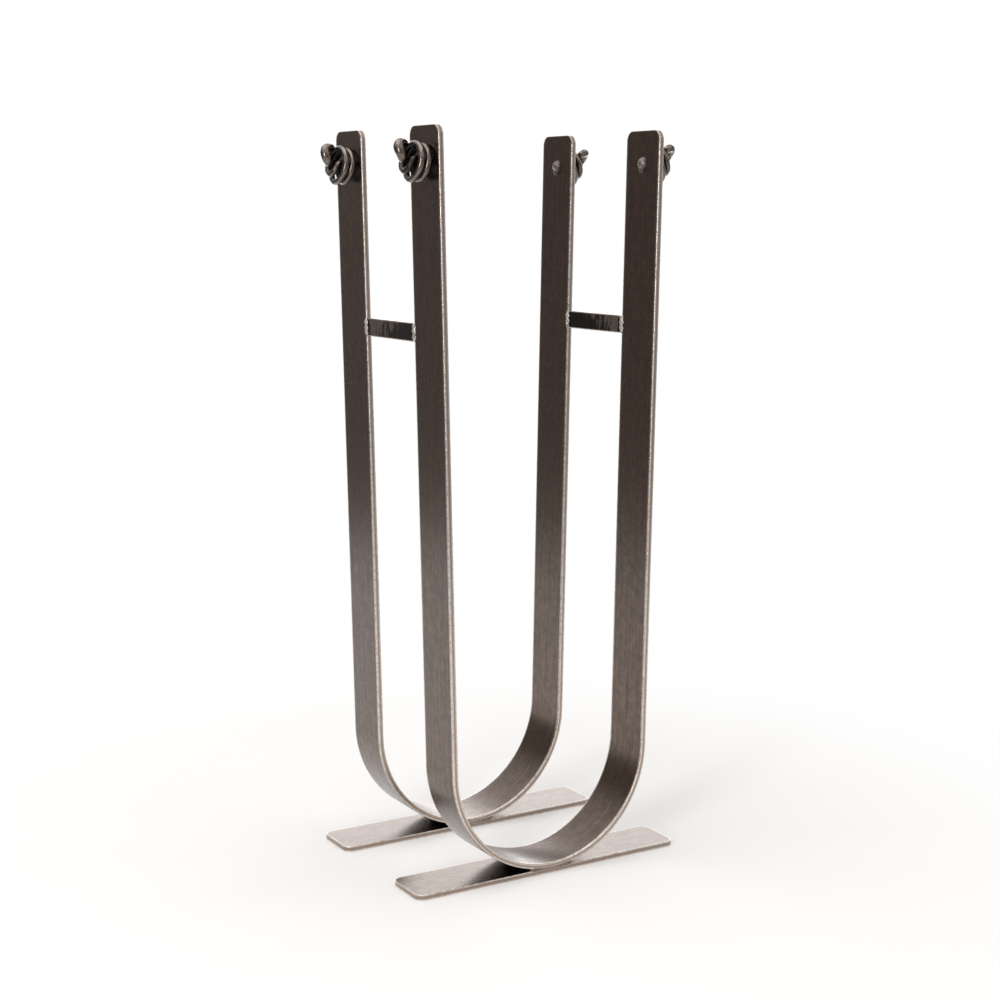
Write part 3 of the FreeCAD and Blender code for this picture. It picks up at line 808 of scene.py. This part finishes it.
class HOLDER_OT_hoops(HolderOperator, bpy.types.Operator):
    """Make the two hoops of bent flat bar"""
    bl_idname = "holder.hoops"
    bl_label = "Hoops"

    def execute(self, context):
        sizes, detail, finish = self.settings(context)
        for name, row in ROWS.items():
            grid = hoop_grid(sizes, detail, row)
            make_piece(name + "_hoop_bar", [grid], finish["waxed_flat_bar"], name + "_hoop")
        return {"FINISHED"}


class HOLDER_OT_feet(HolderOperator, bpy.types.Operator):
    """Make the flat feet under the hoops"""
    bl_idname = "holder.feet"
    bl_label = "Feet"

    def execute(self, context):
        sizes, detail, finish = self.settings(context)
        for name, row in ROWS.items():
            def place(x, y, z):
                return np.stack([x, y + row * sizes.hoop_middle, z + sizes.foot_thickness / 2], axis=-1)
            size = (sizes.foot_length, sizes.foot_width, sizes.foot_thickness)
            grid = plate_grid(size, sizes.foot_round, sizes.foot_edge_round, 2 * detail.corner_steps, place)
            make_piece(name + "_foot_bar", [grid], finish["waxed_foot_bar"], name + "_foot")
        return {"FINISHED"}


class HOLDER_OT_cross_bars(HolderOperator, bpy.types.Operator):
    """Make the cross bars between the uprights"""
    bl_idname = "holder.cross_bars"
    bl_label = "Cross bars"

    def execute(self, context):
        sizes, detail, finish = self.settings(context)
        for name, side in SIDES.items():
            out, up, forward = upright_axes(side, sizes.splay)
            middle = on_upright(sizes, side, 0.0, sizes.cross_level) - out * sizes.bar_thickness / 2

            def place(x, y, z):
                return middle + x[..., None] * forward + y[..., None] * up + z[..., None] * out
            size = (sizes.cross_length, sizes.cross_height, sizes.cross_thickness)
            soft = sizes.cross_edge_round
            grid = plate_grid(size, soft, soft, detail.corner_steps, place)
            make_piece(name + "_cross_flat", [grid], finish["waxed_cross_bar"], name + "_cross_bar")
        return {"FINISHED"}


class HOLDER_OT_knots(HolderOperator, bpy.types.Operator):
    """Make the knotted rods with their peened heads"""
    bl_idname = "holder.knots"
    bl_label = "Knots"

    def execute(self, context):
        sizes, detail, finish = self.settings(context)
        for k, (corner, turn) in enumerate(KNOT_TURNS.items()):
            row_name, side_name = corner.split("_")
            side = SIDES[side_name]
            out, up, forward = upright_axes(side, sizes.splay)
            angle_out = math.radians(turn)
            x_axis = math.cos(angle_out) * forward + math.sin(angle_out) * up
            axes = np.stack([x_axis, np.cross(out, x_axis), out])
            y = ROWS[row_name] * sizes.hoop_middle
            origin = on_upright(sizes, side, y, sizes.height - sizes.knot_drop)

            def place(points):
                return points @ axes + origin
            grids = [rod_grid(sizes, detail, place, HAMMER_SHIFT * k, CORE_SCALE_SHADE[corner]),
                     head_grid(sizes, detail, place, -angle_out)]
            make_piece("tied_rod_" + corner, grids, finish["forged_rod"], "knot_" + corner)
        return {"FINISHED"}


class HOLDER_OT_welds(HolderOperator, bpy.types.Operator):
    """Make the welds on the feet and at the ends of the cross bars"""
    bl_idname = "holder.welds"
    bl_label = "Welds"

    def execute(self, context):
        sizes, _, finish = self.settings(context)
        for name, row in ROWS.items():
            grids = [foot_weld_grid(sizes, row, edge) for edge in (FRONT, REAR)]
            make_piece(name + "_foot_fillets", grids, finish["ground_weld"], name + "_foot_welds")
        for name, side in SIDES.items():
            out, up, forward = upright_axes(side, sizes.splay)
            middle = on_upright(sizes, side, 0.0, sizes.cross_level) - out * sizes.bar_thickness / 2
            grids = []
            for joint, face in itertools.product((-1, 1), (-1, 1)):
                start = middle + (joint * forward * sizes.cross_length + face * out * sizes.bar_thickness) / 2

                def place(x, y, z):
                    return start + x[..., None] * forward + y[..., None] * up + face * z[..., None] * out
                grids.append(bead_grid(sizes, place, JOINT_SHIFT * joint + FACE_SHIFT * face))
            make_piece(name + "_cross_beads", grids, finish["bare_weld"], name + "_cross_bar_welds")
        return {"FINISHED"}


class HOLDER_OT_stage(HolderOperator, bpy.types.Operator):
    """Make the floor, the studio light and the camera"""
    bl_idname = "holder.stage"
    bl_label = "Stage"

    def execute(self, context):
        scene = context.scene
        scene.view_settings.view_transform = "Standard"
        make_floor(scene)
        make_world(scene)
        make_lamps(scene)
        make_camera(scene)
        return {"FINISHED"}


# Stage

FLOOR_REACH, FLOOR_SIDES = 1.9, 96
# How far out the floor's own shade begins to go over to plain white, and is gone
FLOOR_SHADE_FROM, FLOOR_SHADE_TO = 0.28, 0.85
# Brightness of the studio round the holder
BACKDROP_LEVEL, FRONT_LEVEL, ROOF_LEVEL, SIDE_LEVEL = 2.5, 0.5, 1.0, 0.26
# Headings of its backdrop and paler front, from +Y to +X, and the cosines between which each fades in
BACKDROP_HEADING, BACKDROP_FROM, BACKDROP_TO = math.radians(31.0), 0.7, 0.92
FRONT_HEADING, FRONT_FROM, FRONT_TO = math.radians(149.0), 0.2, 0.8
# Sines of the heights between which its roof fades in
ROOF_FROM, ROOF_TO = 0.2, 0.6
# Soft boxes: where they are, where they point, their width and height, and their power in watts
LAMPS = {
    "overhead": ((-0.3, 0.2, 2.6), (0.0, 0.0, 0.3), (2.2, 2.2), 15.0),
    "front_left": ((-2.2, -1.5, 1.0), (0.0, 0.0, 0.6), (0.8, 1.8), 26.0),
}
CAMERA_PLACE = (-1.02925, -1.71377, 0.72635)
CAMERA_YAW, CAMERA_PITCH = 0.5421, 0.1609
CAMERA_LENS, CAMERA_SENSOR = 64.68, 36.0
WHITE = (1.0, 1.0, 1.0, 1.0)


def make_floor(scene):
    """A pale floor that keeps the shadow near the holder and goes over to plain white further out."""
    rim = np.linspace(0, 2 * np.pi, FLOOR_SIDES, endpoint=False)
    disc = FLOOR_REACH * np.stack([np.cos(rim), np.sin(rim), 0 * rim], axis=-1)
    mesh = bpy.data.meshes.new("floor")
    mesh.from_pydata(disc.tolist(), [], [list(range(len(disc)))])
    floor = bpy.data.objects.new("floor", mesh)
    scene.collection.objects.link(floor)
    material, tree, output = new_material("white_floor")
    place = add_node(tree, "TexCoord")["Object"]
    reach = add_node(tree, "VectorMath", {0: place}, operation="LENGTH")["Value"]
    far = add_node(tree, "MapRange", {"Value": reach, "From Min": FLOOR_SHADE_FROM,
                                      "From Max": FLOOR_SHADE_TO}, interpolation_type="SMOOTHSTEP")["Result"]
    rays = add_node(tree, "LightPath")
    seen = rays["Is Camera Ray"]
    for ray in ("Is Glossy Ray", "Is Transmission Ray"):
        seen = add_node(tree, "Math", {0: seen, 1: rays[ray]}, operation="MAXIMUM")["Value"]
    plain = add_node(tree, "Math", {0: far, 1: seen}, operation="MULTIPLY")["Value"]
    matt = add_node(tree, "BsdfDiffuse", {"Color": opaque(scene.holder_colours.floor)})["BSDF"]
    white = add_node(tree, "Emission", {"Color": WHITE, "Strength": 1.0})["Emission"]
    blend = add_node(tree, "MixShader", {0: plain, 1: matt, 2: white})["Shader"]
    tree.links.new(blend, output.inputs["Surface"])
    mesh.materials.append(material)


def make_world(scene):
    """A studio: a bright backdrop and roof, a paler front and dim sides. The camera sees plain white.

    The backdrop shows in the metal and lights nothing, so only mirrored rays meet it.
    """
    world = bpy.data.worlds.new("studio")
    scene.world = world
    world.use_nodes = True
    tree = world.node_tree
    tree.nodes.clear()
    output = tree.nodes.new("ShaderNodeOutputWorld")
    way = add_node(tree, "TexCoord")["Generated"]
    rays = add_node(tree, "LightPath")
    mirrored = add_node(tree, "Math", {0: rays["Is Glossy Ray"], 1: rays["Is Transmission Ray"]},
                        operation="MAXIMUM")["Value"]
    level = SIDE_LEVEL
    for heading, start, full, bright, met in (
            (BACKDROP_HEADING, BACKDROP_FROM, BACKDROP_TO, BACKDROP_LEVEL, mirrored),
            (FRONT_HEADING, FRONT_FROM, FRONT_TO, FRONT_LEVEL, 1.0)):
        towards = (math.sin(heading), math.cos(heading), 0.0)
        facing = add_node(tree, "VectorMath", {0: way, 1: towards}, operation="DOT_PRODUCT")["Value"]
        share = add_node(tree, "MapRange", {"Value": facing, "From Min": start, "From Max": full,
                                            "To Max": bright}, interpolation_type="SMOOTHSTEP")["Result"]
        share = add_node(tree, "Math", {0: share, 1: met}, operation="MULTIPLY")["Value"]
        level = add_node(tree, "Math", {0: share, 1: level}, operation="MAXIMUM")["Value"]
    height = add_node(tree, "SeparateXYZ", {0: way})["Z"]
    roof = add_node(tree, "MapRange", {"Value": height, "From Min": ROOF_FROM, "From Max": ROOF_TO,
                                       "To Max": ROOF_LEVEL}, interpolation_type="SMOOTHSTEP")["Result"]
    level = add_node(tree, "Math", {0: roof, 1: level}, operation="MAXIMUM")["Value"]
    strength = add_node(tree, "Mix", {"Factor": rays["Is Camera Ray"], "A": level, "B": 1.0})["Result"]
    clear = add_node(tree, "MapRange", {"Value": strength, "From Min": SIDE_LEVEL,
                                        "From Max": FRONT_LEVEL})["Result"]
    tint = add_node(tree, "Mix", {"Factor": clear, "A": opaque(scene.holder_colours.dim), "B": WHITE},
                    data_type="RGBA")["Result"]
    sky = add_node(tree, "Background", {"Color": tint, "Strength": strength})
    tree.links.new(sky["Background"], output.inputs["Surface"])


def make_lamps(scene):
    """Soft boxes: a wide one overhead and a tall one at the front left."""
    for name, (place, aim, size, power) in LAMPS.items():
        lamp = bpy.data.lights.new(name, "AREA")
        lamp.shape = "ELLIPSE"
        lamp.size, lamp.size_y = size
        lamp.energy = power
        holder = bpy.data.objects.new(name, lamp)
        scene.collection.objects.link(holder)
        way = np.array(aim) - np.array(place)
        flat = math.hypot(way[0], way[1])
        holder.location = place
        holder.rotation_euler = (math.atan2(flat, -way[2]), 0, math.atan2(way[1], way[0]) - math.pi / 2)


def make_camera(scene):
    """The photograph's viewpoint."""
    lens = bpy.data.cameras.new("camera")
    lens.lens = CAMERA_LENS
    lens.sensor_width = CAMERA_SENSOR
    camera = bpy.data.objects.new("camera", lens)
    scene.collection.objects.link(camera)
    camera.location = CAMERA_PLACE
    camera.rotation_euler = (math.pi / 2 - CAMERA_PITCH, 0, -CAMERA_YAW)
    scene.camera = camera


class HOLDER_PT_panel(bpy.types.Panel):
    """Settings and operators of the log holder"""
    bl_label = "Log holder"
    bl_idname = "HOLDER_PT_panel"
    bl_space_type = "VIEW_3D"
    bl_region_type = "UI"
    bl_category = "Log holder"

    def draw(self, context):
        for operator in OPERATORS:
            self.layout.operator(operator.bl_idname)
        for group in (context.scene.holder_sizes, context.scene.holder_colours, context.scene.holder_detail):
            box = self.layout.box()
            for name in group.__annotations__:
                box.prop(group, name)


OPERATORS = (HOLDER_OT_hoops, HOLDER_OT_feet, HOLDER_OT_cross_bars, HOLDER_OT_knots, HOLDER_OT_welds,
             HOLDER_OT_stage)
GROUPS = {"holder_sizes": HolderSizes, "holder_colours": HolderColours, "holder_detail": HolderDetail}


def register():
    """Register the settings, the operators and the panel."""
    for name, group in GROUPS.items():
        bpy.utils.register_class(group)
        setattr(bpy.types.Scene, name, PointerProperty(type=group))
    for operator in OPERATORS:
        bpy.utils.register_class(operator)
    bpy.utils.register_class(HOLDER_PT_panel)


def unregister():
    """Take everything that was registered out again."""
    bpy.utils.unregister_class(HOLDER_PT_panel)
    for operator in reversed(OPERATORS):
        bpy.utils.unregister_class(operator)
    for name, group in GROUPS.items():
        delattr(bpy.types.Scene, name)
        bpy.utils.unregister_class(group)


def main():
    """Make the holder and its stage."""
    register()
    bpy.ops.holder.hoops()
    bpy.ops.holder.feet()
    bpy.ops.holder.cross_bars()
    bpy.ops.holder.knots()
    bpy.ops.holder.welds()
    bpy.ops.holder.stage()


if __name__ == "__main__":
    main()
